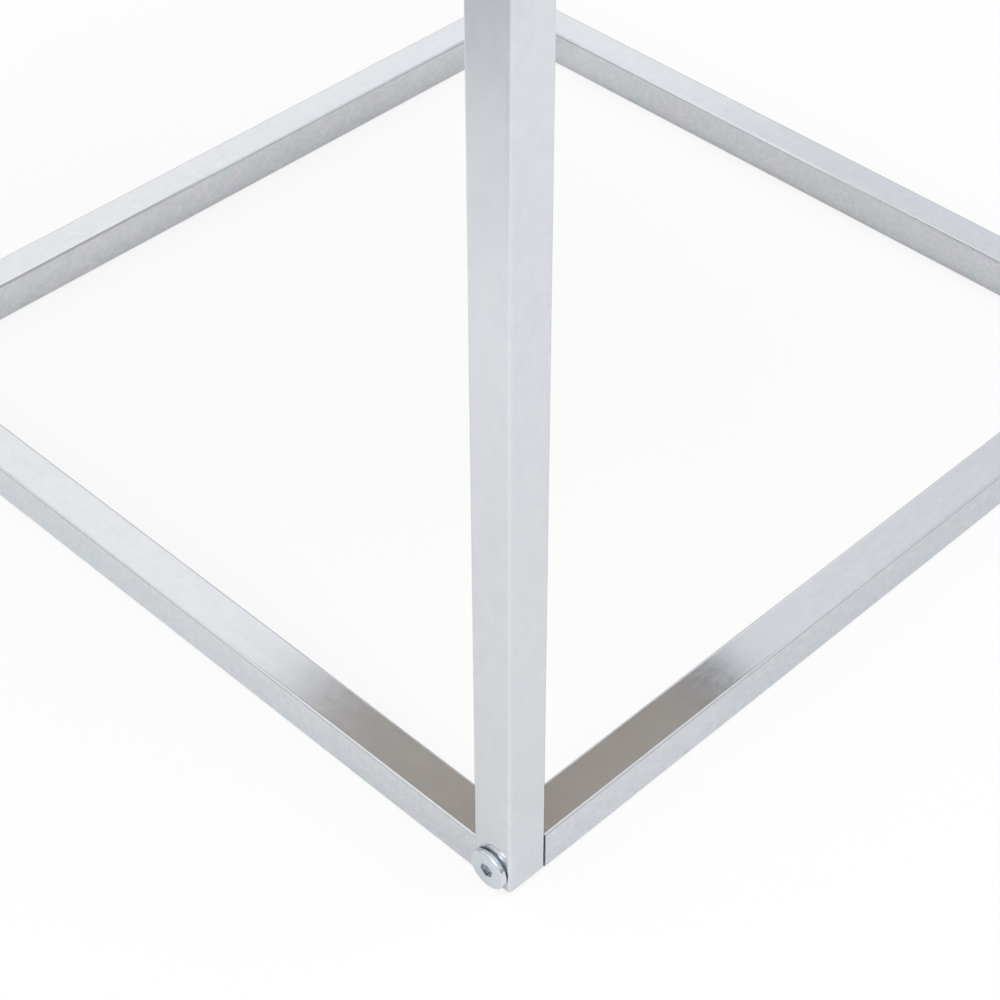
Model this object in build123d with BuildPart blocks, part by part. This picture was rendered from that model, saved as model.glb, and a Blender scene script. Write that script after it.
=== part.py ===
from build123d import *
import os

# Valet stand: a nearly cubic base of 20 mm zinc-plated square tube with an oak
# seat board, two rear posts that run on upwards, an oak trouser bar and an oak
# shoulder-form jacket hanger.
# Frame: millimetres, origin on the floor under the centre of the base,
# +X to the stand's right, +Y to its back, +Z up.

os.makedirs("parts", exist_ok=True)

# ---------------------------------------------------------------- tube stock
TUBE = 20.0            # outside of the square tube
WALL = 1.5             # wall thickness
R_OUT = 1.5            # outer corner radius of the tube
R_IN = 0.5             # inner corner radius of the tube
BORE = TUBE - 2 * WALL

# -------------------------------------------------------------- frame layout
WIDTH = 475.0          # over the outer faces of the two side frames
DEPTH = 465.0          # over the front and rear faces
FOOT_LIFT = 1.2        # the posts stop this far above the floor
SEAT_LEVEL = 475.0     # top faces of the seat rails
BACK_LEVEL = 1060.0    # top of the rear posts and of the top cross rail
JOINT_GAP = 0.35       # assembly gap at each end of a bolted cross rail
WELD_FILL = 1.15       # how far the ground weld runs round a post's corner

POST_X = WIDTH / 2 - TUBE / 2
POST_Y = DEPTH / 2 - TUBE / 2
CROSS_LEN = WIDTH - 2 * TUBE - 2 * JOINT_GAP
SIDE_LEN = DEPTH - 2 * TUBE

FLOOR_Z = TUBE / 2                       # axis height of the floor rails
SEAT_Z = SEAT_LEVEL - TUBE / 2           # axis height of the seat rails
TOP_Z = BACK_LEVEL - TUBE / 2            # axis height of the top cross rail
BAR_Z = 962.0                            # axis height of the trouser bar

# ------------------------------------------------------------ bolted joints
BOLT_R = 4.0           # M8 connector bolt
BOLT_HOLE_R = 4.3      # clearance hole through both walls of a post
HEAD_R = 9.2           # wide flat head
HEAD_T = 2.5
HEAD_ROUND = 0.9       # rounded rim of the head
HEAD_UNDERCUT = 0.35   # bevel of the head's back edge
HEX_AF = 6.0           # hexagon socket across flats
HEX_TURN = 45.0        # how far the sockets have been turned home
HEX_DEPTH = 3.2
WASHER_R = 7.2
WASHER_T = 0.6
NUT_LEN = 14.0         # press-in insert nut in a tube end
NUT_INSET = 0.6
BOLT_REACH = 33.0      # shank length under the washer
NUT_HOLE_R = 4.05

# ------------------------------------------------------------- wooden parts
BOARD_T = 18.0
BOARD_EDGE_R = 2.0
BOARD_CORNER_R = 4.0
NOTCH = TUBE + 0.6     # notch of the board round a rear post
BAR_R = 11.0           # trouser bar
BAR_INSERT_R = 6.5
BAR_INSERT_LEN = 15.0
SCREW_R = 1.95         # seat screw
SCREW_HEAD_R = 4.0
SCREW_HEAD_T = 2.6
ACCESS_R = 5.0         # driver access hole in the lower wall of a rail

NECK_W = 46.0          # hanger neck, width across X
NECK_D = 34.0
NECK_TOP = 1164.0
NECK_Y = DEPTH / 2 - NECK_D / 2
NECK_SHOULDER = NECK_TOP - NECK_W / 2  # where the round crown of the neck starts
ARM_Z = BACK_LEVEL + 64.0  # axis height of the shoulders where they meet the neck
DOWEL_R = 4.0

# ------------------------------------------------------------- joint points
REAR_AND_FRONT = ((-POST_Y, FLOOR_Z), (POST_Y, FLOOR_Z), (-POST_Y, SEAT_Z), (POST_Y, SEAT_Z))
BOLT_POINTS = REAR_AND_FRONT + ((POST_Y, BAR_Z), (POST_Y, TOP_Z))
RAIL_POINTS = REAR_AND_FRONT + ((POST_Y, TOP_Z),)
SIDE_SCREWS = (-145.0, 0.0, 145.0)       # seat screws along each side seat rail
CROSS_SCREWS = (-80.0, 80.0)             # seat screws along the front and rear seat rails
NECK_SCREWS = (-7.0, 7.0)                # screws through the top cross rail into the neck


# =========================================================== welded side frames
# Front post: from just above the floor to the seat board. Both walls carry
# clearance holes for the bolts of the front cross rails.
with BuildPart() as left_front_post:
    with BuildSketch(Plane.XY.offset(FOOT_LIFT)):
        with Locations((-POST_X, -POST_Y)):
            RectangleRounded(TUBE, TUBE, R_OUT)
            RectangleRounded(BORE, BORE, R_IN, mode=Mode.SUBTRACT)
    extrude(amount=SEAT_LEVEL - FOOT_LIFT)
    chamfer(
        left_front_post.edges().group_by(Axis.Z)[0].filter_by(
            lambda e: e.center().X < -POST_X - BORE / 2 - 0.3
            or e.center().X > -POST_X + BORE / 2 + 0.3
            or e.center().Y < -POST_Y - BORE / 2 - 0.3
            or e.center().Y > -POST_Y + BORE / 2 + 0.3
        ),
        length=0.5,
    )
    with BuildSketch(Plane.YZ.offset(-WIDTH / 2 - 1)):
        with Locations((-POST_Y, FLOOR_Z), (-POST_Y, SEAT_Z)):
            Circle(BOLT_HOLE_R)
    extrude(amount=TUBE + 2, mode=Mode.SUBTRACT)
left_front_post.part.label = "left_front_post"
export_step(left_front_post.part, "parts/left_front_post.step")

# Rear post: the same section, carried on up to the jacket hanger.
with BuildPart() as left_rear_post:
    with BuildSketch(Plane.XY.offset(FOOT_LIFT)):
        with Locations((-POST_X, POST_Y)):
            RectangleRounded(TUBE, TUBE, R_OUT)
            RectangleRounded(BORE, BORE, R_IN, mode=Mode.SUBTRACT)
    extrude(amount=BACK_LEVEL - FOOT_LIFT)
    chamfer(
        left_rear_post.edges().group_by(Axis.Z)[0].filter_by(
            lambda e: e.center().X < -POST_X - BORE / 2 - 0.3
            or e.center().X > -POST_X + BORE / 2 + 0.3
            or e.center().Y < POST_Y - BORE / 2 - 0.3
            or e.center().Y > POST_Y + BORE / 2 + 0.3
        ),
        length=0.5,
    )
    with BuildSketch(Plane.YZ.offset(-WIDTH / 2 - 1)):
        with Locations((POST_Y, FLOOR_Z), (POST_Y, SEAT_Z), (POST_Y, BAR_Z), (POST_Y, TOP_Z)):
            Circle(BOLT_HOLE_R)
    extrude(amount=TUBE + 2, mode=Mode.SUBTRACT)
left_rear_post.part.label = "left_rear_post"
export_step(left_rear_post.part, "parts/left_rear_post.step")

# Floor rail of the side frame. Its ends are closed round the corners of the
# posts by the weld, which is ground flush, so the outer faces run through.
with BuildPart() as left_floor_rail:
    with BuildSketch(Plane((-POST_X, -SIDE_LEN / 2 - WELD_FILL, FLOOR_Z), x_dir=(1, 0, 0), z_dir=(0, 1, 0))):
        RectangleRounded(TUBE, TUBE, R_OUT)
        RectangleRounded(BORE, BORE, R_IN, mode=Mode.SUBTRACT)
    extrude(amount=SIDE_LEN + 2 * WELD_FILL)
    with BuildSketch(Plane.XY.offset(-1)):
        with Locations((-POST_X, -POST_Y), (-POST_X, POST_Y)):
            RectangleRounded(TUBE, TUBE, R_OUT)
    extrude(amount=TUBE + 2, mode=Mode.SUBTRACT)
left_floor_rail.part.label = "left_floor_rail"
export_step(left_floor_rail.part, "parts/left_floor_rail.step")

# Seat rail of the side frame: welded like the floor rail, with a small hole in
# the upper wall and a driver access hole in the lower wall for each seat screw.
with BuildPart() as left_seat_rail:
    with BuildSketch(Plane((-POST_X, -SIDE_LEN / 2 - WELD_FILL, SEAT_Z), x_dir=(1, 0, 0), z_dir=(0, 1, 0))):
        RectangleRounded(TUBE, TUBE, R_OUT)
        RectangleRounded(BORE, BORE, R_IN, mode=Mode.SUBTRACT)
    extrude(amount=SIDE_LEN + 2 * WELD_FILL)
    with BuildSketch(Plane.XY.offset(SEAT_LEVEL - TUBE - 1)):
        with Locations((-POST_X, -POST_Y), (-POST_X, POST_Y)):
            RectangleRounded(TUBE, TUBE, R_OUT)
    extrude(amount=TUBE + 2, mode=Mode.SUBTRACT)
    with BuildSketch(Plane.XY.offset(SEAT_LEVEL - TUBE - 1)):
        with Locations(*[(-POST_X, y) for y in SIDE_SCREWS]):
            Circle(ACCESS_R)
    extrude(amount=WALL + 3, mode=Mode.SUBTRACT)
    with BuildSketch(Plane.XY.offset(SEAT_LEVEL - WALL - 1)):
        with Locations(*[(-POST_X, y) for y in SIDE_SCREWS]):
            Circle(SCREW_R + 0.25)
    extrude(amount=WALL + 2, mode=Mode.SUBTRACT)
left_seat_rail.part.label = "left_seat_rail"
export_step(left_seat_rail.part, "parts/left_seat_rail.step")

# The right side frame is the mirror image of the left one.
with BuildPart() as right_front_post:
    mirror(left_front_post.part, about=Plane.YZ)
right_front_post.part.label = "right_front_post"
export_step(right_front_post.part, "parts/right_front_post.step")

with BuildPart() as right_rear_post:
    mirror(left_rear_post.part, about=Plane.YZ)
right_rear_post.part.label = "right_rear_post"
export_step(right_rear_post.part, "parts/right_rear_post.step")

with BuildPart() as right_floor_rail:
    mirror(left_floor_rail.part, about=Plane.YZ)
right_floor_rail.part.label = "right_floor_rail"
export_step(right_floor_rail.part, "parts/right_floor_rail.step")

with BuildPart() as right_seat_rail:
    mirror(left_seat_rail.part, about=Plane.YZ)
right_seat_rail.part.label = "right_seat_rail"
export_step(right_seat_rail.part, "parts/right_seat_rail.step")

# ========================================================= bolted cross rails
# Plain square-cut lengths of tube between the side frames.
with BuildPart() as front_floor_rail:
    with BuildSketch(Plane.YZ.offset(-CROSS_LEN / 2)):
        with Locations((-POST_Y, FLOOR_Z)):
            RectangleRounded(TUBE, TUBE, R_OUT)
            RectangleRounded(BORE, BORE, R_IN, mode=Mode.SUBTRACT)
    extrude(amount=CROSS_LEN)
front_floor_rail.part.label = "front_floor_rail"
export_step(front_floor_rail.part, "parts/front_floor_rail.step")

with BuildPart() as rear_floor_rail:
    mirror(front_floor_rail.part, about=Plane.XZ)
rear_floor_rail.part.label = "rear_floor_rail"
export_step(rear_floor_rail.part, "parts/rear_floor_rail.step")

with BuildPart() as front_seat_rail:
    with BuildSketch(Plane.YZ.offset(-CROSS_LEN / 2)):
        with Locations((-POST_Y, SEAT_Z)):
            RectangleRounded(TUBE, TUBE, R_OUT)
            RectangleRounded(BORE, BORE, R_IN, mode=Mode.SUBTRACT)
    extrude(amount=CROSS_LEN)
    with BuildSketch(Plane.XY.offset(SEAT_LEVEL - TUBE - 1)):
        with Locations(*[(x, -POST_Y) for x in CROSS_SCREWS]):
            Circle(ACCESS_R)
    extrude(amount=WALL + 3, mode=Mode.SUBTRACT)
    with BuildSketch(Plane.XY.offset(SEAT_LEVEL - WALL - 1)):
        with Locations(*[(x, -POST_Y) for x in CROSS_SCREWS]):
            Circle(SCREW_R + 0.25)
    extrude(amount=WALL + 2, mode=Mode.SUBTRACT)
front_seat_rail.part.label = "front_seat_rail"
export_step(front_seat_rail.part, "parts/front_seat_rail.step")

with BuildPart() as rear_seat_rail:
    mirror(front_seat_rail.part, about=Plane.XZ)
rear_seat_rail.part.label = "rear_seat_rail"
export_step(rear_seat_rail.part, "parts/rear_seat_rail.step")

# Top cross rail: ties the rear posts and carries the hanger neck.
with BuildPart() as top_cross_rail:
    with BuildSketch(Plane.YZ.offset(-CROSS_LEN / 2)):
        with Locations((POST_Y, TOP_Z)):
            RectangleRounded(TUBE, TUBE, R_OUT)
            RectangleRounded(BORE, BORE, R_IN, mode=Mode.SUBTRACT)
    extrude(amount=CROSS_LEN)
    with BuildSketch(Plane.XY.offset(BACK_LEVEL - TUBE - 1)):
        with Locations(*[(x, POST_Y) for x in NECK_SCREWS]):
            Circle(ACCESS_R)
    extrude(amount=WALL + 3, mode=Mode.SUBTRACT)
    with BuildSketch(Plane.XY.offset(BACK_LEVEL - WALL - 1)):
        with Locations(*[(x, POST_Y) for x in NECK_SCREWS]):
            Circle(2.7)
    extrude(amount=WALL + 2, mode=Mode.SUBTRACT)
top_cross_rail.part.label = "top_cross_rail"
export_step(top_cross_rail.part, "parts/top_cross_rail.step")

# ================================================================== fasteners
# Press-in insert nuts: steel blocks with a tapped hole, one in each end of
# each cross rail.
with BuildPart() as rail_insert_nuts:
    with BuildSketch(Plane.YZ.offset(-CROSS_LEN / 2 + NUT_INSET)):
        with Locations(*RAIL_POINTS):
            RectangleRounded(BORE, BORE, R_IN)
            Circle(NUT_HOLE_R, mode=Mode.SUBTRACT)
    extrude(amount=NUT_LEN)
    mirror(about=Plane.YZ)
rail_insert_nuts.part.label = "rail_insert_nuts"
export_step(rail_insert_nuts.part, "parts/rail_insert_nuts.step")

# M8 connector bolts: wide flat heads with a rounded rim and a hexagon socket.
HEAD_FRONT = WIDTH / 2 + WASHER_T + HEAD_T
with BuildPart() as connector_bolts:
    with BuildSketch(Plane.YZ.offset(-HEAD_FRONT)):
        with Locations(*BOLT_POINTS):
            Circle(HEAD_R)
    extrude(amount=HEAD_T)
    fillet(
        connector_bolts.edges().filter_by(GeomType.CIRCLE).group_by(Axis.X)[0],
        radius=HEAD_ROUND,
    )
    chamfer(
        connector_bolts.edges().filter_by(GeomType.CIRCLE).group_by(Axis.X)[-1],
        length=HEAD_UNDERCUT,
    )
    with BuildSketch(Plane.YZ.offset(-HEAD_FRONT + HEAD_T)):
        with Locations(*BOLT_POINTS):
            Circle(BOLT_R)
    extrude(amount=BOLT_REACH)
    chamfer(
        connector_bolts.edges().filter_by(GeomType.CIRCLE).group_by(Axis.X)[-1],
        length=0.7,
    )
    with BuildSketch(Plane.YZ.offset(-HEAD_FRONT)):
        with Locations(*BOLT_POINTS):
            RegularPolygon(radius=HEX_AF / 2, side_count=6, major_radius=False, rotation=HEX_TURN)
    extrude(amount=HEX_DEPTH, mode=Mode.SUBTRACT)
    mirror(about=Plane.YZ)
connector_bolts.part.label = "connector_bolts"
export_step(connector_bolts.part, "parts/connector_bolts.step")

# Thin washers between the bolt heads and the posts.
with BuildPart() as bolt_washers:
    with BuildSketch(Plane.YZ.offset(-WIDTH / 2 - WASHER_T)):
        with Locations(*BOLT_POINTS):
            Circle(WASHER_R)
            Circle(BOLT_HOLE_R, mode=Mode.SUBTRACT)
    extrude(amount=WASHER_T)
    mirror(about=Plane.YZ)
bolt_washers.part.label = "bolt_washers"
export_step(bolt_washers.part, "parts/bolt_washers.step")

# ============================================================== plastic parts
# Foot plugs: a thin flange that closes the foot of a post down to the floor
# and a short body pressed into the tube, below the bolt.
with BuildPart() as post_foot_plugs:
    with BuildSketch(Plane.XY):
        with Locations((-POST_X, -POST_Y), (-POST_X, POST_Y), (POST_X, -POST_Y), (POST_X, POST_Y)):
            RectangleRounded(TUBE - 1.6, TUBE - 1.6, 2.0)
    extrude(amount=FOOT_LIFT)
    chamfer(post_foot_plugs.edges().group_by(Axis.Z)[0], length=0.4)
    with BuildSketch(Plane.XY.offset(FOOT_LIFT)):
        with Locations((-POST_X, -POST_Y), (-POST_X, POST_Y), (POST_X, -POST_Y), (POST_X, POST_Y)):
            RectangleRounded(BORE, BORE, R_IN)
            RectangleRounded(BORE - 3, BORE - 3, R_IN, mode=Mode.SUBTRACT)
    extrude(amount=4.8)
post_foot_plugs.part.label = "post_foot_plugs"
export_step(post_foot_plugs.part, "parts/post_foot_plugs.step")

# Caps on the open tops of the rear posts.
with BuildPart() as rear_post_caps:
    with BuildSketch(Plane.XY.offset(BACK_LEVEL)):
        with Locations((-POST_X, POST_Y), (POST_X, POST_Y)):
            RectangleRounded(TUBE, TUBE, R_OUT)
    extrude(amount=2.4)
    chamfer(rear_post_caps.edges().group_by(Axis.Z)[-1], length=1.0)
    with BuildSketch(Plane.XY.offset(BACK_LEVEL - 5.5)):
        with Locations((-POST_X, POST_Y), (POST_X, POST_Y)):
            RectangleRounded(BORE, BORE, R_IN)
            RectangleRounded(BORE - 3, BORE - 3, R_IN, mode=Mode.SUBTRACT)
    extrude(amount=5.5)
rear_post_caps.part.label = "rear_post_caps"
export_step(rear_post_caps.part, "parts/rear_post_caps.step")

# ================================================================= seat board
# Oak board, flush with the outer faces of the frame, lying on the seat rails
# and the front posts and notched round the rear posts.
with BuildPart() as seat_board:
    with BuildSketch(Plane.XY.offset(SEAT_LEVEL)) as board_outline:
        RectangleRounded(WIDTH, DEPTH, BOARD_CORNER_R)
        with Locations(
            (-WIDTH / 2 + NOTCH / 2 - 5, DEPTH / 2 - NOTCH / 2 + 5),
            (WIDTH / 2 - NOTCH / 2 + 5, DEPTH / 2 - NOTCH / 2 + 5),
        ):
            Rectangle(NOTCH + 10, NOTCH + 10, mode=Mode.SUBTRACT)
    extrude(amount=BOARD_T)
    fillet(
        seat_board.edges().filter_by(Axis.Z).filter_by(
            lambda e: e.center().Y > 0 and abs(e.center().X) > WIDTH / 2 - NOTCH - 1
        ),
        radius=1.2,
    )
    fillet(seat_board.faces().sort_by(Axis.Z)[-1].edges(), radius=BOARD_EDGE_R)
    fillet(seat_board.faces().sort_by(Axis.Z)[0].edges(), radius=0.8)
    with BuildSketch(Plane.XY.offset(SEAT_LEVEL)):
        with Locations(
            *[(s * POST_X, y) for s in (-1, 1) for y in SIDE_SCREWS],
            *[(x, s * POST_Y) for s in (-1, 1) for x in CROSS_SCREWS],
        ):
            Circle(SCREW_R + 0.02)
    extrude(amount=13.0, mode=Mode.SUBTRACT)
seat_board.part.label = "seat_board"
export_step(seat_board.part, "parts/seat_board.step")

# Pan-head screws inside the seat rails, driven up into the board.
with BuildPart() as seat_screws:
    with BuildSketch(Plane.XY.offset(SEAT_LEVEL - WALL - SCREW_HEAD_T)):
        with Locations(
            *[(s * POST_X, y) for s in (-1, 1) for y in SIDE_SCREWS],
            *[(x, s * POST_Y) for s in (-1, 1) for x in CROSS_SCREWS],
        ):
            Circle(SCREW_HEAD_R)
    extrude(amount=SCREW_HEAD_T)
    fillet(seat_screws.edges().filter_by(GeomType.CIRCLE).group_by(Axis.Z)[0], radius=1.2)
    with BuildSketch(Plane.XY.offset(SEAT_LEVEL - WALL)):
        with Locations(
            *[(s * POST_X, y) for s in (-1, 1) for y in SIDE_SCREWS],
            *[(x, s * POST_Y) for s in (-1, 1) for x in CROSS_SCREWS],
        ):
            Circle(SCREW_R)
    extrude(amount=WALL + 12.0)
    chamfer(seat_screws.edges().filter_by(GeomType.CIRCLE).group_by(Axis.Z)[-1], length=1.0)
    with BuildSketch(Plane.XY.offset(SEAT_LEVEL - WALL - SCREW_HEAD_T)):
        with Locations(
            *[(s * POST_X, y) for s in (-1, 1) for y in SIDE_SCREWS],
            *[(x, s * POST_Y) for s in (-1, 1) for x in CROSS_SCREWS],
        ):
            Rectangle(3.4, 0.9)
            Rectangle(0.9, 3.4)
    extrude(amount=1.3, mode=Mode.SUBTRACT)
seat_screws.part.label = "seat_screws"
export_step(seat_screws.part, "parts/seat_screws.step")

# ================================================================ trouser bar
# Turned oak bar between the rear posts, with a threaded insert in each end.
with BuildPart() as trouser_bar:
    with BuildSketch(Plane.YZ.offset(-CROSS_LEN / 2)):
        with Locations((POST_Y, BAR_Z)):
            Circle(BAR_R)
    extrude(amount=CROSS_LEN)
    # turned shoulders: the last stretch at each end is stepped down
    with BuildSketch(Plane.YZ.offset(-CROSS_LEN / 2)):
        with Locations((POST_Y, BAR_Z)):
            Circle(BAR_R + 2)
            Circle(BAR_R - 1.6, mode=Mode.SUBTRACT)
    extrude(amount=6.0, mode=Mode.SUBTRACT)
    with BuildSketch(Plane.YZ.offset(CROSS_LEN / 2 - 6.0)):
        with Locations((POST_Y, BAR_Z)):
            Circle(BAR_R + 2)
            Circle(BAR_R - 1.6, mode=Mode.SUBTRACT)
    extrude(amount=6.0, mode=Mode.SUBTRACT)
    fillet(
        trouser_bar.edges().filter_by(GeomType.CIRCLE).filter_by(
            lambda e: abs(e.radius - BAR_R) < 0.01
        ),
        radius=1.5,
    )
    fillet(
        trouser_bar.edges().filter_by(GeomType.CIRCLE).filter_by(
            lambda e: abs(abs(e.center().X) - CROSS_LEN / 2) < 0.01
        ),
        radius=1.0,
    )
    with BuildSketch(Plane.YZ.offset(-CROSS_LEN / 2)):
        with Locations((POST_Y, BAR_Z)):
            Circle(BAR_INSERT_R)
    extrude(amount=BAR_INSERT_LEN + 4, mode=Mode.SUBTRACT)
    with BuildSketch(Plane.YZ.offset(CROSS_LEN / 2)):
        with Locations((POST_Y, BAR_Z)):
            Circle(BAR_INSERT_R)
    extrude(amount=-(BAR_INSERT_LEN + 4), mode=Mode.SUBTRACT)
trouser_bar.part.label = "trouser_bar"
export_step(trouser_bar.part, "parts/trouser_bar.step")

# Threaded brass inserts in the ends of the trouser bar.
with BuildPart() as trouser_bar_inserts:
    with BuildSketch(Plane.YZ.offset(-CROSS_LEN / 2)):
        with Locations((POST_Y, BAR_Z)):
            Circle(BAR_INSERT_R)
            Circle(NUT_HOLE_R, mode=Mode.SUBTRACT)
    extrude(amount=BAR_INSERT_LEN)
    mirror(about=Plane.YZ)
trouser_bar_inserts.part.label = "trouser_bar_inserts"
export_step(trouser_bar_inserts.part, "parts/trouser_bar_inserts.step")

# ============================================================== jacket hanger
# Neck block: stands on the top cross rail and ends in a round crown, where the
# collar of a jacket sits.
with BuildPart() as hanger_neck:
    with BuildSketch(Plane.XZ.offset(-DEPTH / 2)):
        with BuildLine():
            Line((-NECK_W / 2, BACK_LEVEL), (NECK_W / 2, BACK_LEVEL))
            Line((NECK_W / 2, BACK_LEVEL), (NECK_W / 2, NECK_SHOULDER))
            ThreePointArc((NECK_W / 2, NECK_SHOULDER), (0, NECK_TOP), (-NECK_W / 2, NECK_SHOULDER))
            Line((-NECK_W / 2, NECK_SHOULDER), (-NECK_W / 2, BACK_LEVEL))
        make_face()
    extrude(amount=NECK_D)
    fillet(
        hanger_neck.edges().filter_by(GeomType.CIRCLE)
        + hanger_neck.edges().filter_by(Axis.Z),
        radius=2.5,
    )
    with BuildSketch(Plane.XY.offset(BACK_LEVEL)):
        with Locations(*[(x, POST_Y) for x in NECK_SCREWS]):
            Circle(2.52)
    extrude(amount=46.0, mode=Mode.SUBTRACT)
    with BuildSketch(Plane.YZ.offset(-NECK_W / 2)):
        with Locations((NECK_Y - 7, ARM_Z), (NECK_Y + 7, ARM_Z)):
            Circle(DOWEL_R)
    extrude(amount=9.0, mode=Mode.SUBTRACT)
    with BuildSketch(Plane.YZ.offset(NECK_W / 2)):
        with Locations((NECK_Y - 7, ARM_Z), (NECK_Y + 7, ARM_Z)):
            Circle(DOWEL_R)
    extrude(amount=-9.0, mode=Mode.SUBTRACT)
hanger_neck.part.label = "hanger_neck"
export_step(hanger_neck.part, "parts/hanger_neck.step")

# Shoulder: a tapering arm that drops and bows forward to a broad rounded tip.
# Each row: X station, section centre Y, centre Z, depth along Y, height.
SHOULDER = (
    (NECK_W / 2, NECK_Y, ARM_Z, 29.0, 37.0, 9.0),
    (62.0, NECK_Y - 2.0, ARM_Z - 9.5, 32.5, 32.5, 9.5),
    (110.0, NECK_Y - 6.0, ARM_Z - 23.0, 40.0, 27.5, 10.0),
    (160.0, NECK_Y - 11.0, ARM_Z - 36.0, 46.0, 23.5, 9.5),
    (200.0, NECK_Y - 15.5, ARM_Z - 44.5, 49.0, 20.0, 9.0),
    (217.0, NECK_Y - 17.5, ARM_Z - 47.5, 45.0, 16.5, 7.6),
)
with BuildPart() as right_hanger_shoulder:
    for sx, sy, sz, sd, sh, sr in SHOULDER:
        with BuildSketch(Plane((sx, sy, sz), x_dir=(0, 1, 0), z_dir=(1, 0, 0))):
            RectangleRounded(sd, sh, sr)
    loft()
    fillet(right_hanger_shoulder.faces().sort_by(Axis.X)[-1].edges(), radius=6.0)
    with BuildSketch(Plane.YZ.offset(NECK_W / 2 - 1)):
        with Locations((NECK_Y - 7, ARM_Z), (NECK_Y + 7, ARM_Z)):
            Circle(DOWEL_R)
    extrude(amount=22.0, mode=Mode.SUBTRACT)
right_hanger_shoulder.part.label = "right_hanger_shoulder"
export_step(right_hanger_shoulder.part, "parts/right_hanger_shoulder.step")

with BuildPart() as left_hanger_shoulder:
    mirror(right_hanger_shoulder.part, about=Plane.YZ)
left_hanger_shoulder.part.label = "left_hanger_shoulder"
export_step(left_hanger_shoulder.part, "parts/left_hanger_shoulder.step")

# Beech dowels glued between the neck and the shoulders.
with BuildPart() as shoulder_dowels:
    with BuildSketch(Plane.YZ.offset(NECK_W / 2 - 8.5)):
        with Locations((NECK_Y - 7, ARM_Z), (NECK_Y + 7, ARM_Z)):
            Circle(DOWEL_R)
    extrude(amount=28.5)
    chamfer(shoulder_dowels.edges().filter_by(GeomType.CIRCLE), length=0.6)
    mirror(about=Plane.YZ)
shoulder_dowels.part.label = "shoulder_dowels"
export_step(shoulder_dowels.part, "parts/shoulder_dowels.step")

# Long screws from inside the top cross rail up into the neck.
with BuildPart() as hanger_screws:
    with BuildSketch(Plane.XY.offset(BACK_LEVEL - WALL - 3.0)):
        with Locations(*[(x, POST_Y) for x in NECK_SCREWS]):
            Circle(4.6)
    extrude(amount=3.0)
    fillet(hanger_screws.edges().filter_by(GeomType.CIRCLE).group_by(Axis.Z)[0], radius=1.3)
    with BuildSketch(Plane.XY.offset(BACK_LEVEL - WALL)):
        with Locations(*[(x, POST_Y) for x in NECK_SCREWS]):
            Circle(2.5)
    extrude(amount=WALL + 44.0)
    chamfer(hanger_screws.edges().filter_by(GeomType.CIRCLE).group_by(Axis.Z)[-1], length=1.3)
    with BuildSketch(Plane.XY.offset(BACK_LEVEL - WALL - 3.0)):
        with Locations(*[(x, POST_Y) for x in NECK_SCREWS]):
            Rectangle(4.0, 1.0)
            Rectangle(1.0, 4.0)
    extrude(amount=1.5, mode=Mode.SUBTRACT)
hanger_screws.part.label = "hanger_screws"
export_step(hanger_screws.part, "parts/hanger_screws.step")
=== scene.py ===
import math

import bmesh
import bpy
from mathutils import Matrix, Vector

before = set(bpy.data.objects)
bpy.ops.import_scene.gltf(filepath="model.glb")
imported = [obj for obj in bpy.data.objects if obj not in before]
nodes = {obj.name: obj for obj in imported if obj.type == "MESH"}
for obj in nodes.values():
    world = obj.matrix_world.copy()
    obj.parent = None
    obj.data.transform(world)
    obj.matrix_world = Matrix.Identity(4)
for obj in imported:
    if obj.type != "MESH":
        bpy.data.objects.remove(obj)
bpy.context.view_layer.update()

scene = bpy.context.scene

# ------------------------------------------------------------------ camera
# The view is from in front and to the left of the nearest base corner, about
# 42 degrees down, with a long lens that takes in the lower part of the stand.
AZ, PITCH, ROLL = math.radians(45.017), math.radians(42.147), -0.0031
LENS_PX = 2442.1
cam_data = bpy.data.cameras.new("photo_camera")
cam = bpy.data.objects.new("photo_camera", cam_data)
scene.collection.objects.link(cam)
heading = Vector((math.cos(AZ), math.sin(AZ), 0.0))
forward = heading * math.cos(PITCH) - Vector((0, 0, 1)) * math.sin(PITCH)
right = Vector((math.sin(AZ), -math.cos(AZ), 0.0))
up = right.cross(forward)
r2 = right * math.cos(ROLL) + up * math.sin(ROLL)
u2 = -right * math.sin(ROLL) + up * math.cos(ROLL)
rot = Matrix((r2, u2, -forward)).transposed()
cam.matrix_world = Matrix.Translation((-0.67337, -0.66385, 0.76712)) @ rot.to_4x4()
cam_data.sensor_width = 36.0
cam_data.lens = LENS_PX / 1000.0 * 36.0
cam_data.clip_start, cam_data.clip_end = 0.02, 100.0
scene.camera = cam


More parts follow.
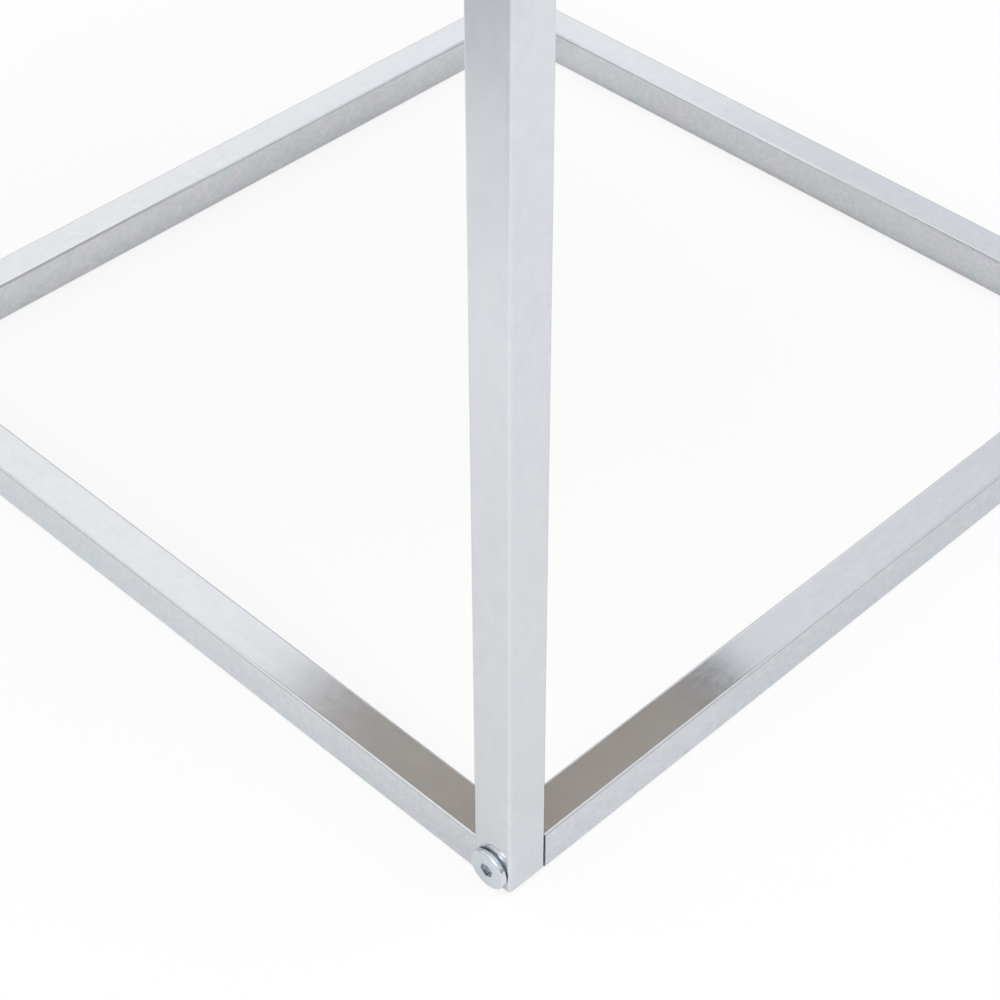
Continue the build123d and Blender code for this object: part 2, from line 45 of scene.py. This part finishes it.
# ------------------------------------------------------------ node helpers
class Graph:
    def __init__(self, name):
        self.mat = bpy.data.materials.new(name)
        self.mat.use_nodes = True
        self.t = self.mat.node_tree
        self.t.nodes.clear()
        self.out = self.add("ShaderNodeOutputMaterial")
        self.bsdf = self.add("ShaderNodeBsdfPrincipled")
        self.t.links.new(self.bsdf.outputs["BSDF"], self.out.inputs["Surface"])
        self.coord = self.add("ShaderNodeTexCoord").outputs["Object"]

    def add(self, kind, **attrs):
        n = self.t.nodes.new(kind)
        for k, v in attrs.items():
            setattr(n, k, v)
        return n

    def link(self, a, b):
        self.t.links.new(a, b)

    def put(self, socket, value):
        if isinstance(value, bpy.types.NodeSocket):
            self.link(value, socket)
        else:
            socket.default_value = value

    def scale(self, vector, s, offset=(0, 0, 0), rotation=(0, 0, 0)):
        m = self.add("ShaderNodeMapping")
        m.inputs["Scale"].default_value = s
        m.inputs["Location"].default_value = offset
        m.inputs["Rotation"].default_value = rotation
        self.link(vector, m.inputs["Vector"])
        return m.outputs["Vector"]

    def noise(self, vector, scale=1.0, detail=2.0, rough=0.5, distort=0.0, out="Fac"):
        n = self.add("ShaderNodeTexNoise")
        n.inputs["Scale"].default_value = scale
        n.inputs["Detail"].default_value = detail
        n.inputs["Roughness"].default_value = rough
        n.inputs["Distortion"].default_value = distort
        self.link(vector, n.inputs["Vector"])
        return n.outputs[out]

    def ramp(self, fac, stops, mode="LINEAR"):
        n = self.add("ShaderNodeValToRGB")
        n.color_ramp.interpolation = mode
        e = n.color_ramp.elements
        while len(e) < len(stops):
            e.new(0.5)
        for i, (p, c) in enumerate(stops):
            e[i].position = p
            e[i].color = (c, c, c, 1) if isinstance(c, (int, float)) else (*c, 1)
        self.put(n.inputs["Fac"], fac)
        return n.outputs["Color"]

    def math(self, op, a, b=0.0, c=None, clamp=False):
        n = self.add("ShaderNodeMath", operation=op, use_clamp=clamp)
        self.put(n.inputs[0], a)
        self.put(n.inputs[1], b)
        if c is not None:
            self.put(n.inputs[2], c)
        return n.outputs[0]

    def vmath(self, op, a, b=(0, 0, 0), out="Vector"):
        n = self.add("ShaderNodeVectorMath", operation=op)
        self.put(n.inputs[0], a)
        self.put(n.inputs[1], b)
        return n.outputs[out]

    def mix(self, fac, a, b, blend="MIX"):
        n = self.add("ShaderNodeMix", data_type="RGBA", blend_type=blend)
        n.clamp_factor = True
        self.put(n.inputs["Factor"], fac)
        self.put(n.inputs[6], a if isinstance(a, bpy.types.NodeSocket) else (*a, 1))
        self.put(n.inputs[7], b if isinstance(b, bpy.types.NodeSocket) else (*b, 1))
        return n.outputs[2]

    def fit(self, value, lo, hi, to_lo, to_hi):
        n = self.add("ShaderNodeMapRange")
        self.put(n.inputs["Value"], value)
        n.inputs["From Min"].default_value = lo
        n.inputs["From Max"].default_value = hi
        n.inputs["To Min"].default_value = to_lo
        n.inputs["To Max"].default_value = to_hi
        return n.outputs["Result"]

    def bump(self, height, distance, strength=1.0, normal=None):
        n = self.add("ShaderNodeBump")
        n.inputs["Distance"].default_value = distance
        n.inputs["Strength"].default_value = strength
        self.put(n.inputs["Height"], height)
        if normal is not None:
            self.link(normal, n.inputs["Normal"])
        return n.outputs["Normal"]

    def edges(self, radius=0.0012):
        """1 on convex edges and corners, 0 on flats, from a bevelled normal."""
        b = self.add("ShaderNodeBevel", samples=6)
        b.inputs["Radius"].default_value = radius
        g = self.add("ShaderNodeNewGeometry")
        d = self.vmath("DOT_PRODUCT", b.outputs["Normal"], g.outputs["True Normal"], out="Value")
        return self.fit(d, 0.995, 0.86, 0.0, 1.0)


ZINC_LOW = (0.604, 0.627, 0.668)
ZINC_MID = (0.650, 0.670, 0.706)
ZINC_HIGH = (0.704, 0.722, 0.752)
ZINC_LILAC = (0.672, 0.655, 0.742)
ZINC_TEAL = (0.590, 0.676, 0.694)


def along(axis, length_scale, cross_scale):
    """Mapping scale with length_scale along the piece's axis and cross_scale across it."""
    s = [cross_scale] * 3
    s["XYZ".index(axis)] = length_scale
    return tuple(s)


# --------------------------------------------------------- zinc-plated tube
def zinc_tube(axis, name="", lean=(0.0, 0.0, 0.0), dull=0.0, mottle=1.0):
    """Bright zinc on drawn square tube: cloudy plating, drawing lines along the tube, rubbed corners lightened
    further by a painted highlight, and faces that are very slightly hollow. A lean is the twist of a rail, in radians
    of slope across its top face; dull is added to its roughness; mottle is how strongly the crystals and tints show
    on its sides."""
    g = Graph("zinc_tube_" + (name or axis.lower()))
    p = g.coord
    # soft blotches 5 to 10 mm across, broad tone changes, and fine crystal grain
    cloud = g.noise(g.scale(p, along(axis, 115.0, 165.0)), 1.0, 4.0, 0.64, 0.5)
    broad = g.noise(g.scale(p, along(axis, 15.0, 30.0), offset=(3.1, 1.7, 8.3)), 1.0, 2.0, 0.5)
    grain = g.noise(g.scale(p, along(axis, 620.0, 900.0)), 1.0, 2.0, 0.6)
    hue = g.noise(g.scale(p, along(axis, 135.0, 185.0), offset=(6.4, 0.9, 4.2)), 1.0, 3.0, 0.6)
    fleck = g.noise(g.scale(p, along(axis, 330.0, 470.0), offset=(2.8, 4.6, 7.1)), 1.0, 2.0, 0.6)
    lines = g.noise(g.scale(p, along(axis, 3.0, 1500.0)), 1.0, 3.0, 0.65)
    streak = g.noise(g.scale(p, along(axis, 7.0, 300.0), offset=(5.5, 2.2, 0.4)), 1.0, 2.0, 0.5)
    # the plating is more even on top and underneath than on the sides
    nz = g.add("ShaderNodeSeparateXYZ")
    g.link(g.add("ShaderNodeTexCoord").outputs["Normal"], nz.inputs[0])
    spots = g.math("SUBTRACT", mottle, g.math("MULTIPLY", g.math("ABSOLUTE", nz.outputs["Z"], 0.0), 0.75 * mottle))
    base = g.mix(g.ramp(cloud, [(0.30, 0.0), (0.70, 1.0)]), ZINC_LOW, ZINC_HIGH)
    base = g.mix(g.math("MULTIPLY", g.ramp(broad, [(0.36, 0.0), (0.64, 1.0)]), 0.45), base, ZINC_MID)
    base = g.mix(g.math("MULTIPLY", g.ramp(hue, [(0.50, 0.0), (0.66, 1.0)]), g.math("MULTIPLY", spots, 0.95)), base, ZINC_LILAC)
    base = g.mix(g.math("MULTIPLY", g.ramp(hue, [(0.34, 1.0), (0.50, 0.0)]), g.math("MULTIPLY", spots, 0.95)), base, ZINC_TEAL)
    base = g.mix(g.math("MULTIPLY", g.ramp(grain, [(0.38, 1.0), (0.62, 0.0)]), g.math("MULTIPLY", spots, 0.40)), base, (0.53, 0.55, 0.575))
    base = g.mix(g.math("MULTIPLY", g.ramp(fleck, [(0.50, 0.0), (0.66, 1.0)]), g.math("MULTIPLY", spots, 0.34)), base, (0.765, 0.775, 0.80))
    base = g.mix(g.math("MULTIPLY", g.ramp(fleck, [(0.34, 1.0), (0.48, 0.0)]), g.math("MULTIPLY", spots, 0.28)), base, (0.545, 0.56, 0.60))
    base = g.mix(g.math("MULTIPLY", g.ramp(lines, [(0.36, 1.0), (0.50, 0.0)]), 0.08), base, (0.50, 0.515, 0.54))
    base = g.mix(g.math("MULTIPLY", g.math("SUBTRACT", 1.0, spots, clamp=True), 0.50), base, ZINC_MID)
    # short fine scratches, mostly along the tube
    hair = g.noise(g.scale(p, along(axis, 26.0, 2600.0), rotation=(0.02, 0.03, 0.02)), 1.0, 1.0, 0.5)
    where = g.noise(g.scale(p, (60.0, 60.0, 60.0), offset=(9, 4, 2)), 1.0, 1.0)
    scratch = g.math("MULTIPLY", g.ramp(hair, [(0.70, 0.0), (0.76, 1.0)]), g.ramp(where, [(0.52, 0.0), (0.64, 1.0)]))
    base = g.mix(g.math("MULTIPLY", scratch, 0.18), base, (0.80, 0.81, 0.83))
    # plating rubbed bright on the corners: partly real wear, partly a painted highlight that lightens the dark line
    # mirrored along the rounded edges
    edge = g.edges(0.0011)
    worn = g.math("MULTIPLY", edge, g.fit(cloud, 0.3, 0.7, 0.25, 0.8), clamp=True)
    base = g.mix(g.math("MULTIPLY", worn, 0.40), base, (0.85, 0.845, 0.84))
    g.link(base, g.bsdf.inputs["Base Color"])
    rough = g.fit(cloud, 0.25, 0.75, 0.085 + dull, 0.125 + dull)
    rough = g.math("ADD", rough, g.math("MULTIPLY", g.ramp(grain, [(0.45, 0.0), (0.60, 1.0)]), g.math("MULTIPLY", spots, 0.06)))
    rough = g.math("ADD", rough, g.math("MULTIPLY", g.math("SUBTRACT", streak, 0.5), 0.05))
    rough = g.math("ADD", rough, g.math("MULTIPLY", scratch, 0.05), clamp=True)
    g.link(rough, g.bsdf.inputs["Roughness"])
    g.bsdf.inputs["Metallic"].default_value = 0.84
    # the faces' hollow: height rises as the square of the distance from mid-face
    gen = g.add("ShaderNodeTexCoord").outputs["Generated"]
    t = g.vmath("SUBTRACT", g.vmath("MULTIPLY", gen, (2.0, 2.0, 2.0)), (1.0, 1.0, 1.0))
    cross = [0.0 if k == "XYZ".index(axis) else 1.0 for k in range(3)]
    hollow = g.vmath("DOT_PRODUCT", g.vmath("MULTIPLY", t, t), tuple(cross), out="Value")
    wave = g.noise(g.scale(p, along(axis, 22.0, 46.0), offset=(0.7, 5.1, 3.3)), 1.0, 1.0, 0.4)
    form = g.math("ADD", g.math("MULTIPLY", hollow, 0.45), g.math("MULTIPLY", wave, 1.1))
    if any(lean):
        slope = g.vmath("DOT_PRODUCT", gen, tuple(v * 0.020 / 0.000060 for v in lean), out="Value")
        form = g.math("ADD", form, slope)
    n1 = g.bump(form, 0.000060, 1.0)
    h = g.math("ADD", g.math("MULTIPLY", lines, 0.26), g.math("MULTIPLY", cloud, 0.12))
    h = g.math("ADD", h, g.math("MULTIPLY", grain, 0.06))
    h = g.math("SUBTRACT", h, g.math("MULTIPLY", scratch, 0.25))
    g.link(g.bump(h, 0.00010, 0.35, normal=n1), g.bsdf.inputs["Normal"])
    return g.mat


# ------------------------------------------------------------ zinc hardware
def zinc_hardware():
    g = Graph("zinc_hardware")
    p = g.coord
    cloud = g.noise(g.scale(p, (170.0, 170.0, 170.0)), 1.0, 3.0, 0.6, 0.4)
    tint = g.noise(g.scale(p, (75.0, 75.0, 75.0), offset=(2, 6, 4)), 1.0, 2.0, 0.5)
    fine = g.noise(g.scale(p, (2100.0, 2100.0, 2100.0)), 1.0, 2.0, 0.6)
    base = g.mix(g.ramp(cloud, [(0.3, 0.0), (0.7, 1.0)]), (0.61, 0.65, 0.70), (0.73, 0.762, 0.805))
    base = g.mix(g.math("MULTIPLY", g.ramp(tint, [(0.40, 0.0), (0.62, 1.0)]), 0.30), base, (0.64, 0.71, 0.75))
    base = g.mix(g.math("MULTIPLY", g.ramp(tint, [(0.30, 1.0), (0.44, 0.0)]), 0.34), base, (0.63, 0.66, 0.78))
    worn = g.math("MULTIPLY", g.edges(0.0005), 0.22)
    base = g.mix(worn, base, (0.86, 0.87, 0.89))
    g.link(base, g.bsdf.inputs["Base Color"])
    g.link(g.fit(cloud, 0.25, 0.75, 0.11, 0.19), g.bsdf.inputs["Roughness"])
    g.bsdf.inputs["Metallic"].default_value = 0.95
    h = g.math("ADD", g.math("MULTIPLY", fine, 0.4), cloud)
    g.link(g.bump(h, 0.00005, 0.5), g.bsdf.inputs["Normal"])
    return g.mat


# --------------------------------------------------------------------- wood
def wood(name, axis, stave=None, stave_axis=None, light=(0.560, 0.478, 0.388), mid=(0.480, 0.400, 0.312), dark=(0.340, 0.265, 0.192)):
    """Matt oak cut in space: growth rings, pores and rays follow the
    grain axis, and glued staves each have their own tone and figure."""
    g = Graph(name)
    p = g.coord
    k = "XYZ".index(axis)
    if stave:
        sep = g.add("ShaderNodeSeparateXYZ")
        g.link(p, sep.inputs[0])
        across = sep.outputs["XYZ".index(stave_axis)]
        pos = g.math("ADD", g.math("DIVIDE", across, stave), 50.5)
        index = g.math("FLOOR", pos)
        part = g.math("FRACT", pos)
        wn = g.add("ShaderNodeTexWhiteNoise", noise_dimensions="1D")
        g.link(index, wn.inputs["W"])
        shift = g.vmath("MULTIPLY", wn.outputs["Color"], (3.0, 3.0, 3.0))
        p = g.vmath("ADD", p, shift)
        own = wn.outputs["Value"]
        joint = g.math("MINIMUM", part, g.math("SUBTRACT", 1.0, part))
        seam = g.fit(joint, 0.0, 0.0032, 1.0, 0.0)
    # slow wander of the grain, then rings as a saw-tooth of a stretched field
    wander = g.noise(g.scale(p, along(axis, 1.6, 5.0)), 1.0, 2.0, 0.5, out="Color")
    pw = g.vmath("ADD", p, g.vmath("MULTIPLY", g.vmath("SUBTRACT", wander, (0.5, 0.5, 0.5)), (0.028, 0.028, 0.028)))
    field = g.noise(g.scale(pw, along(axis, 1.5, 11.0)), 1.0, 2.0, 0.45)
    field2 = g.noise(g.scale(pw, along(axis, 6.0, 60.0)), 1.0, 3.0, 0.55)
    f = g.math("ADD", g.math("MULTIPLY", field, 17.0), g.math("MULTIPLY", field2, 1.1))
    ring = g.math("FRACT", f)
    late = g.ramp(ring, [(0.0, 0.12), (0.50, 0.32), (0.88, 1.0), (0.97, 0.72), (1.0, 0.12)])
    streaks = g.noise(g.scale(pw, along(axis, 8.0, 420.0)), 1.0, 3.0, 0.6)
    base = g.mix(g.ramp(field, [(0.30, 0.0), (0.72, 1.0)]), light, mid)
    base = g.mix(g.math("MULTIPLY", late, 0.50), base, dark)
    base = g.mix(g.math("MULTIPLY", g.ramp(streaks, [(0.42, 0.0), (0.70, 1.0)]), 0.42), base, dark)
    pores = g.noise(g.scale(pw, along(axis, 34.0, 1500.0)), 1.0, 2.0, 0.5)
    pore = g.math("MULTIPLY", g.ramp(pores, [(0.60, 0.0), (0.68, 1.0)]), g.fit(ring, 0.0, 0.8, 1.0, 0.35), clamp=True)
    base = g.mix(g.math("MULTIPLY", pore, 0.62), base, (0.165, 0.115, 0.078))
    fleck = g.noise(g.scale(p, along(axis, 70.0, 260.0), offset=(1.3, 7.7, 2.9)), 1.0, 1.0)
    base = g.mix(g.math("MULTIPLY", g.ramp(fleck, [(0.62, 0.0), (0.72, 1.0)]), 0.14), base, (0.56, 0.47, 0.37))
    if stave:
        hsv = g.add("ShaderNodeHueSaturation")
        g.link(base, hsv.inputs["Color"])
        g.link(g.fit(own, 0.0, 1.0, 0.90, 1.10), hsv.inputs["Value"])
        g.link(g.fit(wn.outputs["Color"], 0.0, 1.0, 0.90, 1.08), hsv.inputs["Saturation"])
        base = hsv.outputs["Color"]
        base = g.mix(g.math("MULTIPLY", seam, 0.55), base, (0.18, 0.125, 0.085))
    worn = g.math("MULTIPLY", g.edges(0.0016), 0.40)
    base = g.mix(worn, base, (0.55, 0.455, 0.35))
    g.link(base, g.bsdf.inputs["Base Color"])
    rough = g.math("ADD", g.fit(late, 0.0, 1.0, 0.50, 0.40), g.math("MULTIPLY", pore, 0.25))
    rough = g.math("ADD", rough, g.math("MULTIPLY", g.math("SUBTRACT", fleck, 0.5), 0.08), clamp=True)
    g.link(rough, g.bsdf.inputs["Roughness"])
    g.bsdf.inputs["Specular IOR Level"].default_value = 0.42
    h = g.math("SUBTRACT", g.math("MULTIPLY", late, 0.25), pore)
    h = g.math("ADD", h, g.math("MULTIPLY", streaks, 0.3))
    if stave:
        h = g.math("SUBTRACT", h, g.math("MULTIPLY", seam, 0.8))
    g.link(g.bump(h, 0.00016, 0.7), g.bsdf.inputs["Normal"])
    return g.mat


# ------------------------------------------------------------ plastic, brass
def plastic():
    g = Graph("grey_plastic")
    p = g.coord
    fine = g.noise(g.scale(p, (1500.0, 1500.0, 1500.0)), 1.0, 2.0, 0.6)
    soft = g.noise(g.scale(p, (90.0, 90.0, 90.0)), 1.0, 2.0, 0.5)
    base = g.mix(g.ramp(soft, [(0.35, 0.0), (0.65, 1.0)]), (0.60, 0.61, 0.62), (0.68, 0.69, 0.70))
    base = g.mix(g.math("MULTIPLY", g.edges(0.0008), 0.4), base, (0.76, 0.77, 0.78))
    g.link(base, g.bsdf.inputs["Base Color"])
    g.link(g.fit(fine, 0.2, 0.8, 0.38, 0.55), g.bsdf.inputs["Roughness"])
    g.link(g.bump(fine, 0.00006, 0.6), g.bsdf.inputs["Normal"])
    return g.mat


def brass():
    g = Graph("brass_inserts")
    p = g.coord
    turned = g.noise(g.scale(p, (1900.0, 60.0, 60.0)), 1.0, 2.0, 0.5)
    cloud = g.noise(g.scale(p, (210.0, 210.0, 210.0)), 1.0, 3.0, 0.5)
    base = g.mix(g.ramp(cloud, [(0.3, 0.0), (0.7, 1.0)]), (0.66, 0.50, 0.24), (0.78, 0.63, 0.36))
    g.link(base, g.bsdf.inputs["Base Color"])
    g.link(g.fit(cloud, 0.2, 0.8, 0.22, 0.36), g.bsdf.inputs["Roughness"])
    g.bsdf.inputs["Metallic"].default_value = 1.0
    g.link(g.bump(turned, 0.00004, 0.6), g.bsdf.inputs["Normal"])
    return g.mat


tube_mats = {a: zinc_tube(a, mottle=0.16 if a == "Z" else 1.0) for a in "XYZ"}
# the two near floor rails are each twisted by about three quarters of a degree
left_floor_mat = zinc_tube("Y", name="left_floor", lean=(-0.013, 0.0, 0.0), dull=0.055)
front_floor_mat = zinc_tube("X", name="front_floor", lean=(0.0, 0.013, 0.0))
hardware_mat = zinc_hardware()
seat_wood = wood("oak_board", "Y", stave=0.0679, stave_axis="X")
bar_wood = wood("oak_bar", "X")
neck_wood = wood("oak_neck", "Z")
dowel_wood = wood("beech_dowel", "X", light=(0.62, 0.46, 0.31), mid=(0.54, 0.38, 0.24), dark=(0.42, 0.28, 0.17))
plastic_mat = plastic()
brass_mat = brass()

ASSIGN = {
    "left_front_post": tube_mats["Z"], "left_rear_post": tube_mats["Z"],
    "right_front_post": tube_mats["Z"], "right_rear_post": tube_mats["Z"],
    "left_floor_rail": left_floor_mat, "left_seat_rail": tube_mats["Y"],
    "right_floor_rail": tube_mats["Y"], "right_seat_rail": tube_mats["Y"],
    "front_floor_rail": front_floor_mat, "rear_floor_rail": tube_mats["X"],
    "front_seat_rail": tube_mats["X"], "rear_seat_rail": tube_mats["X"],
    "top_cross_rail": tube_mats["X"],
    "connector_bolts": hardware_mat, "bolt_washers": hardware_mat, "rail_insert_nuts": hardware_mat,
    "seat_screws": hardware_mat, "hanger_screws": hardware_mat,
    "trouser_bar_inserts": brass_mat,
    "post_foot_plugs": plastic_mat, "rear_post_caps": plastic_mat,
    "seat_board": seat_wood, "trouser_bar": bar_wood, "hanger_neck": neck_wood,
    "left_hanger_shoulder": bar_wood, "right_hanger_shoulder": bar_wood,
    "shoulder_dowels": dowel_wood,
}
for name, obj in nodes.items():
    obj.data.materials.clear()
    obj.data.materials.append(ASSIGN[name])


# ------------------------------------------------------------------- stage
def stage_floor():
    """A pale paper floor. The camera sees it evenly white. What the zinc mirrors of it carries painted shade, a
    little darker away to the left and behind to the right, and painted light in lighter zones towards the back."""
    bm = bmesh.new()
    bmesh.ops.create_grid(bm, x_segments=24, y_segments=24, size=9.0)
    me = bpy.data.meshes.new("floor")
    bm.to_mesh(me)
    bm.free()
    o = bpy.data.objects.new("floor", me)
    scene.collection.objects.link(o)
    o.location = (0, 0, -0.0004)
    g = Graph("pale_floor")
    p = g.coord
    paper = g.noise(g.scale(p, (5.0, 5.0, 5.0)), 1.0, 2.0, 0.5)
    plain = g.mix(paper, (0.81, 0.81, 0.81), (0.83, 0.83, 0.83))
    reach = g.vmath("LENGTH", g.vmath("SUBTRACT", p, (0.16, -0.36, 0.0)), out="Value")

    def step(value, start, end):
        n = g.add("ShaderNodeMapRange", interpolation_type="SMOOTHSTEP")
        g.link(value, n.inputs["Value"])
        n.inputs["From Min"].default_value = start
        n.inputs["From Max"].default_value = end
        return n.outputs["Result"]

    sep = g.add("ShaderNodeSeparateXYZ")
    g.link(p, sep.inputs[0])
    # painted light and shade in the tone the zinc mirrors: lighter from about the middle of the stand backwards, with
    # a plain strip just outside the left rail
    nearby = step(sep.outputs["Y"], -0.20, -0.02)
    beside = g.math("MULTIPLY", step(sep.outputs["X"], -0.20, -0.235), step(sep.outputs["X"], -0.285, -0.262))
    tone = g.mix(beside, plain, g.mix(nearby, (0.82, 0.82, 0.82), (0.92, 0.92, 0.92)))
    # painted shade: a mid-tone strip just in front of the left part of the front rail
    infront = g.math("MULTIPLY", step(sep.outputs["Y"], -0.226, -0.236), step(sep.outputs["Y"], -0.262, -0.250))
    infront = g.math("MULTIPLY", infront, step(sep.outputs["X"], -0.075, -0.12))
    tone = g.mix(infront, tone, (0.87, 0.87, 0.87))
    # painted light: lighter still behind the rear rail, lightest there on the left
    tone = g.mix(g.math("MULTIPLY", step(sep.outputs["Y"], 0.10, 0.19), 0.8), tone, (0.93, 0.93, 0.93))
    inside = g.math("MULTIPLY", step(sep.outputs["Y"], 0.10, 0.19), step(sep.outputs["X"], 0.11, -0.01))
    tone = g.mix(inside, tone, (0.98, 0.98, 0.98))
    # painted shade: darker away to the left
    left = g.math("MULTIPLY", step(reach, 0.72, 1.10), step(sep.outputs["X"], -0.05, -0.35))
    tone = g.mix(left, tone, (0.50, 0.505, 0.515))
    # painted shade: a dark patch behind to the right
    ahead = g.vmath("DOT_PRODUCT", p, (0.7071, 0.7071, 0.0), out="Value")
    aside = g.vmath("DOT_PRODUCT", p, (-0.7071, 0.7071, 0.0), out="Value")
    right = g.math("MULTIPLY", step(ahead, 0.44, 0.58), step(aside, 0.06, -0.05))
    tone = g.mix(right, tone, (0.22, 0.23, 0.25))
    # the camera sees the plain paper tone; reflections see the tone with its painted light and shade
    path = g.add("ShaderNodeLightPath")
    g.link(g.mix(path.outputs["Is Camera Ray"], tone, plain), g.bsdf.inputs["Base Color"])
    g.bsdf.inputs["Roughness"].default_value = 0.9
    g.bsdf.inputs["Specular IOR Level"].default_value = 0.0
    # what the camera sees directly is lifted towards clean white
    white = g.add("ShaderNodeEmission")
    white.inputs["Strength"].default_value = 1.0
    lift = g.math("MULTIPLY", path.outputs["Is Camera Ray"], 0.84)
    both = g.add("ShaderNodeMixShader")
    g.link(lift, both.inputs["Fac"])
    g.link(g.bsdf.outputs["BSDF"], both.inputs[1])
    g.link(white.outputs["Emission"], both.inputs[2])
    g.link(both.outputs["Shader"], g.out.inputs["Surface"])
    me.materials.append(g.mat)


stage_floor()


# ------------------------------------------------------------------- world
def studio_world():
    """A white tent: dimmer at the horizon, brighter above and to the left."""
    w = bpy.data.worlds.new("studio")
    scene.world = w
    w.use_nodes = True
    t = w.node_tree
    t.nodes.clear()

    def node(kind, **attrs):
        n = t.nodes.new(kind)
        for k, v in attrs.items():
            setattr(n, k, v)
        return n

    def ramp(source, stops):
        n = node("ShaderNodeValToRGB")
        e = n.color_ramp.elements
        while len(e) < len(stops):
            e.new(0.5)
        for i, (pos, c) in enumerate(stops):
            e[i].position = pos
            e[i].color = (c, c, c, 1) if isinstance(c, float) else (*c, 1)
        t.links.new(source, n.inputs["Fac"])
        return n.outputs["Color"]

    direction = node("ShaderNodeTexCoord").outputs["Generated"]
    split = node("ShaderNodeSeparateXYZ")
    t.links.new(direction, split.inputs[0])
    height = ramp(split.outputs["Z"], WORLD_HEIGHT)
    flat = node("ShaderNodeVectorMath", operation="MULTIPLY")
    t.links.new(direction, flat.inputs[0])
    flat.inputs[1].default_value = (1, 1, 0)
    unit = node("ShaderNodeVectorMath", operation="NORMALIZE")
    t.links.new(flat.outputs["Vector"], unit.inputs[0])
    side = node("ShaderNodeVectorMath", operation="DOT_PRODUCT")
    t.links.new(unit.outputs["Vector"], side.inputs[0])
    side.inputs[1].default_value = (-0.7071, 0.7071, 0.0)
    half = node("ShaderNodeMath", operation="MULTIPLY_ADD")
    t.links.new(side.outputs["Value"], half.inputs[0])
    half.inputs[1].default_value = 0.5
    half.inputs[2].default_value = 0.5
    round_ = ramp(half.outputs[0], WORLD_SIDE)
    both = node("ShaderNodeMix", data_type="RGBA", blend_type="MULTIPLY")
    t.links.new(ramp(split.outputs["Z"], [(0.72, 1.0), (0.90, 0.15)]), both.inputs["Factor"])
    t.links.new(height, both.inputs[6])
    t.links.new(round_, both.inputs[7])
    env = node("ShaderNodeBackground")
    t.links.new(both.outputs[2], env.inputs["Color"])
    env.inputs["Strength"].default_value = WORLD_STRENGTH
    seen = node("ShaderNodeBackground")
    seen.inputs["Color"].default_value = (1, 1, 1, 1)
    path = node("ShaderNodeLightPath")
    pick = node("ShaderNodeMixShader")
    t.links.new(path.outputs["Is Camera Ray"], pick.inputs["Fac"])
    t.links.new(env.outputs[0], pick.inputs[1])
    t.links.new(seen.outputs[0], pick.inputs[2])
    out = node("ShaderNodeOutputWorld")
    t.links.new(pick.outputs[0], out.inputs["Surface"])


# sine of the elevation, brightness (as a share of WORLD_STRENGTH)
WORLD_STRENGTH = 1.38
WORLD_HEIGHT = [(0.0, 0.34), (0.12, 0.40), (0.30, 0.70), (0.46, 0.88), (0.72, 0.90), (0.86, 0.96), (1.0, 1.0)]
# from the right (0) through straight ahead and behind (0.5) to the left (1)
WORLD_SIDE = [(0.0, (0.70, 0.70, 0.705)), (0.10, (0.66, 0.665, 0.675)), (0.24, (0.56, 0.575, 0.60)), (0.38, (0.75, 0.755, 0.77)), (0.425, (0.77, 0.775, 0.78)), (0.455, (0.92, 0.925, 0.925)),
              (0.50, (0.96, 0.96, 0.96)), (0.57, (1.0, 0.99, 0.975)), (0.80, (0.95, 0.945, 0.93)), (1.0, (0.82, 0.82, 0.81))]
studio_world()


def softbox(name, location, target, size, power, color=(1, 1, 1), mirrored=True):
    d = bpy.data.lights.new(name, "AREA")
    d.shape = "RECTANGLE"
    d.size, d.size_y = size
    d.energy = power
    d.color = color
    o = bpy.data.objects.new(name, d)
    scene.collection.objects.link(o)
    o.location = location
    o.rotation_euler = (Vector(target) - Vector(location)).to_track_quat("-Z", "Y").to_euler()
    o.visible_glossy = mirrored


softbox("left_softbox", (-2.30, -0.75, 1.45), (0, 0, 0.25), (1.0, 1.3), 16.0, (1.0, 0.99, 0.97))
softbox("top_softbox", (0.60, -0.95, 3.2), (0, -0.1, 0.1), (1.7, 1.7), 23.8, mirrored=False)

scene.view_settings.view_transform = "Standard"
scene.view_settings.look = "None"
scene.view_settings.exposure = 0.0
scene.view_settings.gamma = 1.0
